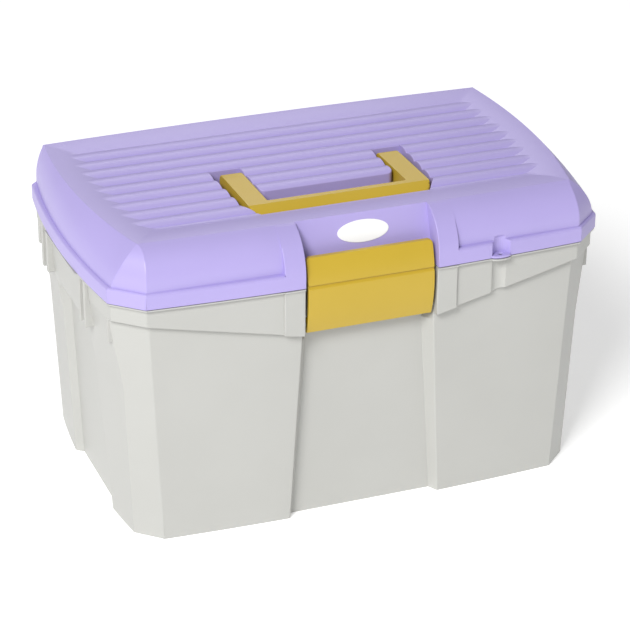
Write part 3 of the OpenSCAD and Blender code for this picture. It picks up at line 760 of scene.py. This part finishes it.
# The skirt and the dome above it, with the lean of each side at the crease.
SKIRT_TOP, SHOULDER, SKIRT_ROUND = LID_LOW + 12.1, LID_LOW + 15.9, 2.2
SKIRT_C = facet_reach(HALF_X, HALF_Y, SKIRT_CUT)
DOME_BOW, DOME_Y, DOME_C = 4200.0, HALF_Y - 4.8, SKIRT_C - 2.4
LEANS = {"front": 20.7, "rear": 17.0, "front_facet": 15.4, "rear_facet": 3.8}
# The ends of the dome are tilted barrels.
END_IN, END_R, END_TUBE, END_TILT = 3.0, 670.7, 44.3, math.radians(4.05)
END_X, END_Y, END_Z = HALF_X - END_IN - END_R, -5.2, LID_LOW + 11
# The pillars beside the latch bay, and the sloping face of the bay.
PILLAR_UP, PILLAR_LEAN = LID_LOW + 8.9, 24.0
BAY_TOP, BAY_LEAN = HALF_Y - 26.9, 15.0
# The rolled rim, the dish and its reeds, with a fine cut along each valley.
VALLEY, ROLL_R, ROLL_START = CREASE - 3.5, 140.0, 3.66
ROLL_LEVEL = math.sqrt(ROLL_R ** 2 - ROLL_START ** 2)
REED_PITCH, REED_H, REED_COUNT, REED_END = 17.1, 2.0, 9, HALF_X - 31.5
REED_R = (REED_PITCH ** 2 / 4 + REED_H ** 2) / (2 * REED_H)
REED_BAND, REED_SHIFT = REED_COUNT * REED_PITCH / 2, 6.5
CUT_HALF, CUT_DEEP = 0.8, 1.1
# The handle pocket, which is cut off at its front corners, and the block between the arms.
POCKET_FLOOR, POCKET_FRONT, POCKET_REAR = CREASE - 21.1, -74.5, 12.5
POCKET_CUT, POCKET_HALF = 15.0, (67.5, 77.0, 80.0)
BLOCK_X, BLOCK_FRONT, BLOCK_ROUND = 54.6, -35.5, 5.0
print("reed radius", round(REED_R, 1), "roll level", round(ROLL_LEVEL, 1))

# %% [markdown]
# A wall of the dome rounds over on an arc, and an end is a barrel, so their corners have no plain formula.
# The corner is guessed, each wall is asked for its reach there, and a few rounds settle it.

# %% Walls of the dome
SETTLE = 12


def over_arc(reach, lean, low, z):
    """Reach of a wall that rounds over from a height and leans in by a given amount at the crease."""
    rise = CREASE - low
    r = (lean ** 2 + rise ** 2) / (2 * lean)
    return reach - r + math.sqrt(r ** 2 - max(z - low, 0) ** 2)


def dome_end(y, z):
    """Reach of the tilted, barrel-shaped end of the dome."""
    dy, dz = y - END_Y, z - END_Z
    across = dy * math.cos(END_TILT) + dz * math.sin(END_TILT)
    up = max(dz * math.cos(END_TILT) - dy * math.sin(END_TILT), 0)
    r = END_R - END_TUBE + math.sqrt(END_TUBE ** 2 - min(up, END_TUBE) ** 2)
    return END_X + math.sqrt(r ** 2 - across ** 2)


def dome_corners(side, z):
    """The two corners of a dome facet at a height, on the front (-1) or the rear (1)."""
    name = "front" if side < 0 else "rear"
    deep = over_arc(DOME_Y, LEANS[name], SHOULDER, z)
    reach = over_arc(DOME_C, LEANS[name + "_facet"], SHOULDER, z)
    x, y = HALF_X, deep
    for _ in range(SETTLE):
        x, y = dome_end(side * y, z), deep - x * x / (2 * DOME_BOW)
    if x * COS + y * SIN <= reach:
        return (x, side * y), (x, side * y)
    s, end_y = SIN / (2 * DOME_BOW), y
    front_x = (COS - math.sqrt(COS ** 2 + 4 * s * (deep * SIN - reach))) / (2 * s)
    for _ in range(SETTLE):
        end_y = (reach - dome_end(side * end_y, z) * COS) / SIN
    front_y = deep - front_x ** 2 / (2 * DOME_BOW)
    return (front_x, side * front_y), (dome_end(side * end_y, z), side * end_y)


print("corner at the crease", [round(c, 1) for c in dome_corners(-1, CREASE)[0]])

# %% [markdown]
# The height of the top is the highest of three things: the flat valley, the roll of the rim and the reeds.
# Taking the highest makes each reed run out into the roll by itself, as on the real lid.

# %% Height of the dished top
def crease_y(side, x):
    """Place of the front (-1) or rear (1) crease."""
    name = "front" if side < 0 else "rear"
    return side * (DOME_Y - LEANS[name] - x * x / (2 * DOME_BOW))


def on_reeds(y):
    """Whether a place lies in the band of reeds."""
    return abs(y - REED_SHIFT) <= REED_BAND


def reed_height(y):
    """Height of the reeds, with a fine cut along each valley."""
    off = abs((y - REED_SHIFT + REED_PITCH / 2) % REED_PITCH - REED_PITCH / 2)
    cut = CUT_DEEP * max(1 - (REED_PITCH / 2 - off) / CUT_HALF, 0)
    return VALLEY + REED_H - REED_R + math.sqrt(REED_R ** 2 - off ** 2) - cut


def roll_height(inward):
    """Height of the rolled rim at a distance inside the crease."""
    return CREASE - ROLL_LEVEL + math.sqrt(ROLL_R ** 2 - (max(inward, 0) + ROLL_START) ** 2)


def roll_width(height):
    """How far inside the crease the roll has come down to a height."""
    return math.sqrt(ROLL_R ** 2 - (height - CREASE + ROLL_LEVEL) ** 2) - ROLL_START


def top_height(x, y):
    """Height of the top without the pocket."""
    inward = min(y - crease_y(-1, x), crease_y(1, x) - y, dome_end(y, CREASE) - abs(x))
    bed = reed_height(y) if abs(x) <= REED_END and on_reeds(y) else VALLEY
    return max(bed, roll_height(inward))


print("dish is", round(CREASE - VALLEY, 1), "mm deep")

# %% [markdown]
# An upright wall in a grid needs two points at the same place, one above the other.
# So columns and rows are doubled at the edges of the pocket and the block.
# They lie closer together where the surface turns.

# %% Columns and rows of the top grid
IN_SHARES = [0, .17, .34, .5, .64, .75, .83, .89, .94, .97, 1]
PILLAR_SHARES = [0, .12, .36, .64, .88, 1]
NEAR_SHARES = [0, .08, .35, .7]
FAR_SHARES = [.05, .2, .4, .6, .78, .9, 1]
RIM_SHARES = [.1, .22, .36, .52, .68, .84, 1]
IN_LAST = len(IN_SHARES) - 1
PILLAR_LAST = IN_LAST + len(PILLAR_SHARES)
FRONT_ROWS = [-100, -97, -93.5, -90, -86, -82.5, -79.5, -77]
REAR_ROWS = [86.5, 90, 93.5, 97, 100.5, 103.5, 105.8]
REED_ROWS, DOUBLE_ROOM = 12, 0.7


def spread(inner, outer, tip, edge):
    """Places of the right half's columns: doubled at both inner edges, fixed at the eye, one at the tip."""
    near, far = GROOVE_PLACES[0], GROOVE_PLACES[-1]
    return ([inner * s for s in IN_SHARES] + [inner + (outer - inner) * s for s in PILLAR_SHARES]
            + [outer + (near - outer) * s for s in NEAR_SHARES] + GROOVE_PLACES
            + [far + (tip - far) * s for s in FAR_SHARES] + [tip + (edge - tip) * s for s in RIM_SHARES])


def pocket_side(y):
    """Half width of the handle pocket, which is cut off at its front corners."""
    return float(np.interp(y, [POCKET_FRONT, POCKET_FRONT + POCKET_CUT, POCKET_REAR], POCKET_HALF))


def row_places():
    """Places of the rows from the front crease to the rear crease, doubled at the pocket's edges."""
    doubles = [POCKET_FRONT, BLOCK_FRONT, POCKET_REAR]
    first = REED_SHIFT - REED_BAND
    over_reed = [REED_PITCH * k / REED_ROWS for k in range(1, REED_ROWS)]
    inside = [CUT_HALF] + over_reed + [REED_PITCH - CUT_HALF, REED_PITCH]
    reed_rows = [first] + [first + REED_PITCH * reed + y for reed in range(REED_COUNT) for y in inside]
    rows = [y for y in reed_rows if min(abs(y - d) for d in doubles) > DOUBLE_ROOM]
    front = [crease_y(-1, 0)] + FRONT_ROWS + [first - CUT_HALF]
    return sorted(front + rows + doubles * 2 + REAR_ROWS + [crease_y(1, 0)])


ROWS = row_places()
FRONT_IN = ROWS.index(POCKET_FRONT) + 1
BLOCK_IN = ROWS.index(BLOCK_FRONT) + 1
REAR_IN = ROWS.index(POCKET_REAR)
print("rows:", len(ROWS), "columns:", 2 * len(spread(BAY_X, RIDGE_X, HALF_X, HALF_X)) - 1)

# %% [markdown]
# Each row runs from the left crease to the right one and bends with the crease near the front and the rear.
# Points between the pocket's doubled edges drop to its floor, which makes the walls of the pocket by itself.

# %% Top grid
HAIR = 0.01


def round_block(x, y):
    """Pull the front corners of the block between the arms into a round."""
    a, b = abs(x) - (BLOCK_X - BLOCK_ROUND), BLOCK_FRONT + BLOCK_ROUND - y
    if not (0 < a <= BLOCK_ROUND + HAIR and 0 < b <= BLOCK_ROUND + HAIR):
        return x, y
    near = a * math.sqrt(1 - b * b / (2 * BLOCK_ROUND ** 2))
    ahead = b * math.sqrt(1 - a * a / (2 * BLOCK_ROUND ** 2))
    return math.copysign(BLOCK_X - BLOCK_ROUND + near, x), BLOCK_FRONT + BLOCK_ROUND - ahead


def in_pocket(row, col):
    """Whether a grid point lies on the floor of the pocket."""
    in_block = col <= IN_LAST and row >= BLOCK_IN
    return FRONT_IN <= row <= REAR_IN and col <= PILLAR_LAST and not in_block


def top_row(row):
    """Points of one row of the top, from the left crease to the right crease."""
    y0 = ROWS[row]
    side = -1 if y0 < 0 else 1
    limit = POCKET_FRONT if side < 0 else REED_SHIFT + REED_BAND
    share = min(max((y0 - limit) / (crease_y(side, 0) - limit), 0), 1)
    bend = -side * share / (2 * DOME_BOW)
    edge = HALF_X
    for _ in range(SETTLE):
        edge = dome_end(y0 + bend * edge ** 2, CREASE)
    inner = float(np.interp(y0, [crease_y(-1, 0), POCKET_FRONT], [BAY_X, BLOCK_X]))
    bed = max(reed_height(y0), VALLEY) if on_reeds(y0) else VALLEY
    width = min(roll_width(bed), abs(y0 - crease_y(side, 0)))
    points = []
    for col, x in enumerate(spread(inner, pocket_side(y0), edge - width, edge)):
        y = -BAY_TOP if row == 0 and col <= IN_LAST else y0 + bend * x * x
        x, y = round_block(x, y)
        points.append((x, y, POCKET_FLOOR if in_pocket(row, col) else top_height(x, y)))
    return [(-x, y, z) for x, y, z in points[:0:-1]] + points


top_rows = [top_row(row) for row in range(len(ROWS))]
print("top grid:", len(top_rows), "by", len(top_rows[0]))

# %% [markdown]
# A side that is made apart from the top would leave a seam along the crease.
# Every level of the side has as many points as the edge of the grid, so the grid and the side weld together.

# %% One level of the side
FACET_STEPS = 4


def line(start, end, count):
    """Points between two places, without the ends."""
    return [tuple(np.add(start, np.subtract(end, start) * (k / count))) for k in range(1, count)]


def end_shares():
    """How far along the end crease each row of the grid lies."""
    ends = [row[-1][1] for row in top_rows]
    return [(y - ends[0]) / (ends[-1] - ends[0]) for y in ends]


END_SHARES = end_shares()


def side_level(z, notch=0.0, skirt=False, inset=0.0):
    """One closed level of the dome, or of the skirt below it, with a share of the eye notch."""
    if skirt:
        front, end = plan_corners(HALF_X - inset, HALF_Y - inset, SKIRT_C - inset)
        corner = {side: ((front[0], side * front[1]), (end[0], side * end[1])) for side in (-1, 1)}
    else:
        corner = {side: dome_corners(side, z) for side in (-1, 1)}

    def deep(side, x):
        """Place of the front or rear face."""
        if skirt:
            return side * bowed_front(HALF_Y - inset, x)
        lean = LEANS["front" if side < 0 else "rear"]
        return side * (over_arc(DOME_Y, lean, SHOULDER, z) - x * x / (2 * DOME_BOW))

    def front_point(col, x, dent):
        """Point of the front: in the bay, on a pillar or on the face."""
        if col <= IN_LAST:
            return x, -(BAY_TOP + BAY_LEAN * (CREASE - z) / (CREASE - LID_LOW))
        if col <= PILLAR_LAST:
            pillar = bowed_front(over_arc(HALF_Y, PILLAR_LEAN, PILLAR_UP, z), x)
            return x, min(-pillar, deep(-1, x))
        return x, -dented(-deep(-1, x), x, EYE_R, dent)

    def end_line():
        """Points along the right end, one for each row of the grid."""
        low, high = corner[-1][1][1], corner[1][1][1]
        places = [low + (high - low) * s for s in END_SHARES]
        return [(bowed_end(HALF_X - inset, y) if skirt else dome_end(y, z), y) for y in places]

    columns = list(enumerate(spread(BAY_X, RIDGE_X, corner[-1][0][0], corner[-1][0][0])))
    right = [front_point(col, x, notch) for col, x in columns]
    left = [front_point(col, x, 0) for col, x in columns]
    rear = [(x, deep(1, x)) for x in spread(BAY_X, RIDGE_X, corner[1][0][0], corner[1][0][0])]
    front_facet = line(corner[-1][0], corner[-1][1], FACET_STEPS)
    rear_facet = line(corner[1][1], corner[1][0], FACET_STEPS)
    end = front_facet + end_line() + rear_facet
    mirrored = [[(-x, y) for x, y in points] for points in (left[:0:-1], rear[1:], end[::-1])]
    loop = mirrored[0] + right + end + rear[::-1] + mirrored[1] + mirrored[2]
    return [(x, y, z) for x, y in loop]


def crease_level():
    """The edge of the top grid, in the same order as a side level."""
    first, last = top_rows[0], top_rows[-1]
    right, left = [row[-1] for row in top_rows], [row[0] for row in top_rows]
    pad = FACET_STEPS - 1
    return (first + [first[-1]] * pad + right + [last[-1]] * pad + last[::-1]
            + [last[0]] * pad + left[::-1] + [first[0]] * pad)


print("points in a level:", len(crease_level()))

# %% [markdown]
# The levels follow even turns of the dome's arc, so its rounded faces shade smoothly.
# The shell gets its wall from a solidify step, inwards, and then its edges are rounded.

# %% Stack the lid
LEDGE_RISE, NOTCH_LEVELS = 2.0, 2
SKIRT_STEPS, DOME_STEPS = 6, 18
LID_EDGE, LID_EDGE_ANGLE = 0.7, 32
DOME_RISE = CREASE - SHOULDER
DOME_R = (LEANS["front"] ** 2 + DOME_RISE ** 2) / (2 * LEANS["front"])
DOME_TURN = np.linspace(0, math.asin(DOME_RISE / DOME_R), DOME_STEPS, endpoint=False)
DOME_LEVELS = [SKIRT_TOP, SKIRT_TOP + LEDGE_RISE] + [SHOULDER + DOME_R * math.sin(a) for a in DOME_TURN]

levels = [side_level(LID_LOW, EYE_SHARE, True)]
for a in quarter(SKIRT_STEPS):
    under, inset = SKIRT_ROUND * (1 - math.sin(a)), SKIRT_ROUND * (1 - math.cos(a))
    levels.append(side_level(SKIRT_TOP - under, EYE_SHARE, True, inset))
for k, z in enumerate(DOME_LEVELS):
    levels.append(side_level(z, EYE_SHARE if k < NOTCH_LEVELS else 0))
levels.append(crease_level())

lid = make_piece("lid_shell", skin(levels) + skin(top_rows, wrap=False), lid_plastic, "cover", ["lid"])
thick = lid.modifiers.new("wall", "SOLIDIFY")
thick.thickness = LID_WALL * MM
thick.offset = -1
thick.use_even_offset = False
round_edges(lid, LID_EDGE, LID_EDGE_ANGLE)

# %% [markdown]
# The lid carries the outer knuckles of each hinge, half of the padlock eye and a ridge for the latch.
# Inside the block between the handle's arms, two bosses hold the ends of the handle pins.
# They could be cut out of the shell, but plain blocks that sink into its wall give cleaner edges.

# %% Fittings of the lid
SIDE_W, SIDE_GAP = 11.5, 0.6
LID_LUG = ((-10.0, 0.4), (-3.0, 5.8))
PIVOT_Y = -4.0
BOSS_LEN, BOSS_HALF, BOSS_LOW, BOSS_TOP = 9.5, 5.0, CREASE - 14, CREASE - 5.4
CATCH_HALF, CATCH_Y, CATCH_Z = 40.0, (12.6 - HALF_Y, 20.6 - HALF_Y), (LID_LOW + 7.9, LID_LOW + 11.5)


def cross_bar(half, depths, heights):
    """Block across the box, centred on its middle."""
    return block((-half, depths[0], heights[0]), (half, depths[1], heights[1]))


def lid_fittings():
    """Upper half of the padlock eye, the outer knuckles, the pin bosses and the ridge for the latch."""
    polygons = eye_tab(LID_LOW, LID_LOW + LID_TAB)
    for side in (-1, 1):
        for end in (-1, 1):
            x = side * HINGE_X + end * (KNUCKLE_W / 2 + SIDE_GAP + SIDE_W / 2)
            polygons += knuckle(x, SIDE_W) + lug(x, SIDE_W, LID_LOW, LID_LUG)
        low, high = sorted((side * (BLOCK_X - BOSS_LEN), side * (BLOCK_X - LID_WALL / 2)))
        polygons += block((low, PIVOT_Y - BOSS_HALF, BOSS_LOW), (high, PIVOT_Y + BOSS_HALF, BOSS_TOP))
    return polygons + cross_bar(CATCH_HALF, CATCH_Y, CATCH_Z)


fittings = make_piece("lid_fittings", lid_fittings(), lid_plastic, "cover")
round_edges(fittings, FITTING_EDGE)

# %% [markdown]
# ## Handle
# The handle is one U-shaped bail that folds flush into its pocket.
# It could be swept along a path, but its flat arms and its round grip have different sections.
# So it is stacked from outlines: the grip bar rounds over at its front, and the tails are half-round.

# %% Handle
HANDLE_TOP, HANDLE_T, HANDLE_HALF = CREASE - 1.5, 12.0, 73.0
ARM_W, ARM_KNEE, TAIL_OUT = 16.6, 8.0, 4.0
BAR_FRONT, BAR_W, BAR_ROUND, BAR_DROP, BAR_TURN = -72.0, 16.0, 11.0, 10.0, 0.7
BAR_CORNER, CORNER_STEPS = 11.0, 7
BAR_FILLET, FILLET_MIDDLE = 1.2, 0.3
GOLD_EDGE_ANGLE, HANDLE_EDGE, HANDLE_EDGE_STEPS = 40, 1.0, 3
HANDLE_SHARES = (1, .97, .9, .75, .5, .416, .3, .2, .11, .05, .015, 0)


def bar_front(z):
    """Front of the grip bar, which rounds over to the rear towards its top."""
    over = BAR_TURN * max(z - (HANDLE_TOP - BAR_DROP), 0) / BAR_DROP
    return BAR_FRONT + BAR_ROUND * (1 - math.sqrt(1 - over ** 2)) / (1 - math.sqrt(1 - BAR_TURN ** 2))


def arm_tail(z):
    """Half-round rear end of the arms."""
    radius = HANDLE_T / 2
    return PIVOT_Y + TAIL_OUT + math.sqrt(max(radius ** 2 - (z - HANDLE_TOP + radius) ** 2, 0))


def handle_outline(z):
    """Outline of the handle at a height: the right half, then its mirror image."""
    front, tail, knee = bar_front(z), arm_tail(z), PIVOT_Y - ARM_KNEE
    inner, rear, soft = HANDLE_HALF - ARM_W, BAR_FRONT + BAR_W, FILLET_MIDDLE * BAR_FILLET
    corner = [(HANDLE_HALF - BAR_CORNER * (1 - math.sin(a)), BAR_FRONT + BAR_CORNER * (1 - math.cos(a)))
              for a in quarter(CORNER_STEPS)]
    half = [(x, max(y, front)) for x, y in corner]
    half += [(HANDLE_HALF, knee), (HANDLE_HALF, tail), (inner, tail), (inner, knee)]
    half += [(inner, rear + BAR_FILLET), (inner - soft, rear + soft), (inner - BAR_FILLET, rear)]
    return [(x, y, z) for x, y in half] + [(-x, y, z) for x, y in half[::-1]]


handle_rows = [handle_outline(HANDLE_TOP - HANDLE_T * share) for share in HANDLE_SHARES]
handle = make_piece("bail_handle", solid(handle_rows), gold_plastic, "bail", ["handle"])
round_edges(handle, HANDLE_EDGE, GOLD_EDGE_ANGLE, HANDLE_EDGE_STEPS)

# %% [markdown]
# ## Latch
# The latch is a bulged plate with a barrel that turns on a rod and a nose that snaps over a ridge of the lid.
# A bent plane with a solidify step would do for the plate, but the groove across it needs its own levels.
# So the plate is stacked from bottom to top, and shorter last levels round its upper corners.

# %% Latch
LATCH_HALF, LATCH_LOW, LATCH_HIGH = 50.3, TUB_H - 38.6, TUB_H + 21.2
LATCH_R, LATCH_T, LATCH_ROUND = 82.0, 3.0, 3.0
LATCH_Y, LATCH_Z = LATCH_R + 1.7 - HALF_Y, TUB_H - 11.3
GROOVE_DEEP, LIP_LOW, LIP_HIGH, GROOVE_TOP = 1.4, TUB_H - 1.7, TUB_H - 0.3, TUB_H + 0.8
GROOVE_STEP = 0.1
LATCH_PIVOT, BARREL_R, LATCH_PIN_R = (9.7 - HALF_Y, TUB_H - 32.3), 4.5, 2.0
NOSE_Y, NOSE_Z = (7.2 - HALF_Y, 12.2 - HALF_Y), (LID_LOW + 11.9, LID_LOW + 14.9)
LATCH_SHARES = (-1, -.96, -.75, -.4, 0, .4, .75, .96, 1)
LOWER_STEPS, UPPER_STEPS, LATCH_EDGE = 13, 6, 0.5


def latch_face(z, r):
    """Face of the plate on an arc of a given radius."""
    return LATCH_Y - math.sqrt(r ** 2 - (z - LATCH_Z) ** 2)


def latch_level(z):
    """Level of the plate: along the outer face, then back along the inner face."""
    corner = max(z - (LATCH_HIGH - LATCH_ROUND), 0)
    half = LATCH_HALF - LATCH_ROUND + math.sqrt(LATCH_ROUND ** 2 - corner ** 2)
    places = [half * s for s in LATCH_SHARES]
    groove = GROOVE_DEEP if LIP_HIGH <= z <= GROOVE_TOP else 0
    outer = [(x, latch_face(z, LATCH_R) + groove, z) for x in places]
    return outer + [(x, latch_face(z, LATCH_R - LATCH_T), z) for x in places[::-1]]


def latch_heights():
    """Heights of the levels: below the groove, the groove, above it, and the rounded upper corners."""
    round_low = LATCH_HIGH - LATCH_ROUND
    lower = list(np.linspace(LATCH_LOW, LIP_LOW, LOWER_STEPS))
    upper = list(np.linspace(GROOVE_TOP + GROOVE_STEP, round_low, UPPER_STEPS))
    corner = [LATCH_HIGH - LATCH_ROUND * (1 - math.sin(a)) for a in quarter(CORNER_STEPS)[1:-1]]
    return lower + [LIP_HIGH, GROOVE_TOP] + upper + corner + [LATCH_HIGH - HAIR]


def latch_shell():
    """Plate, barrel and nose of the latch."""
    plate = solid([latch_level(z) for z in latch_heights()])
    barrel = along_x(tube(BARREL_R, LATCH_PIN_R, -LATCH_HALF, LATCH_HALF, SOFT))
    return plate + moved(barrel, (0, *LATCH_PIVOT)) + cross_bar(CATCH_HALF, NOSE_Y, NOSE_Z)


latch = make_piece("front_latch", latch_shell(), gold_plastic, "clasp", ["latch"])
round_edges(latch, LATCH_EDGE, GOLD_EDGE_ANGLE)

# %% [markdown]
# ## Label
# The sticker is a thin oval of white film on the sloping face above the latch. It is blank.
# It could be a patch of colour in the lid's material, but a real film has an edge that catches the light.

# %% Label
LABEL_X, LABEL_H, LABEL_T, LABEL_Z = 20.4, 8.4, 0.5, LID_LOW + 29.2
LABEL_STEPS = 2 * ROUND_STEPS
BAY_SLOPE = math.atan2(BAY_LEAN, CREASE - LID_LOW)


def label_ring(grow, lift):
    """Oval on the sloping face, lifted off it by a little."""
    rise, lean = math.cos(BAY_SLOPE), math.sin(BAY_SLOPE)
    y = -(BAY_TOP + BAY_LEAN * (CREASE - LABEL_Z) / (CREASE - LID_LOW))
    points = []
    for a in around(LABEL_STEPS):
        up = (LABEL_H + grow) * math.sin(a)
        x = (LABEL_X + grow) * math.cos(a)
        points.append((x, y + up * lean - lift * rise, LABEL_Z + up * rise + lift * lean))
    return points


oval = solid([label_ring(0, -LABEL_T / 2), label_ring(0, LABEL_T / 2), label_ring(-LABEL_T / 2, LABEL_T)])
label = make_piece("label_oval", oval, label_film, "cover", ["label"])
label.data.set_sharp_from_angle(angle=math.radians(CRISP))

# %% [markdown]
# ## Tray and pins
# The lift-out tray has plain thin walls, and the pins are plain round steel.
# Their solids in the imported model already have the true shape, so they stay and only get their finish.

# %% Pieces that keep their solids
FINISHES = {"tray": lid_plastic, "hinge_pins": pin_steel, "handle_pins": pin_steel, "latch_pin": pin_steel}
for node, material in FINISHES.items():
    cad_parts[node].data.materials.clear()
    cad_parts[node].data.materials.append(material)
print("kept solids:", ", ".join(FINISHES))
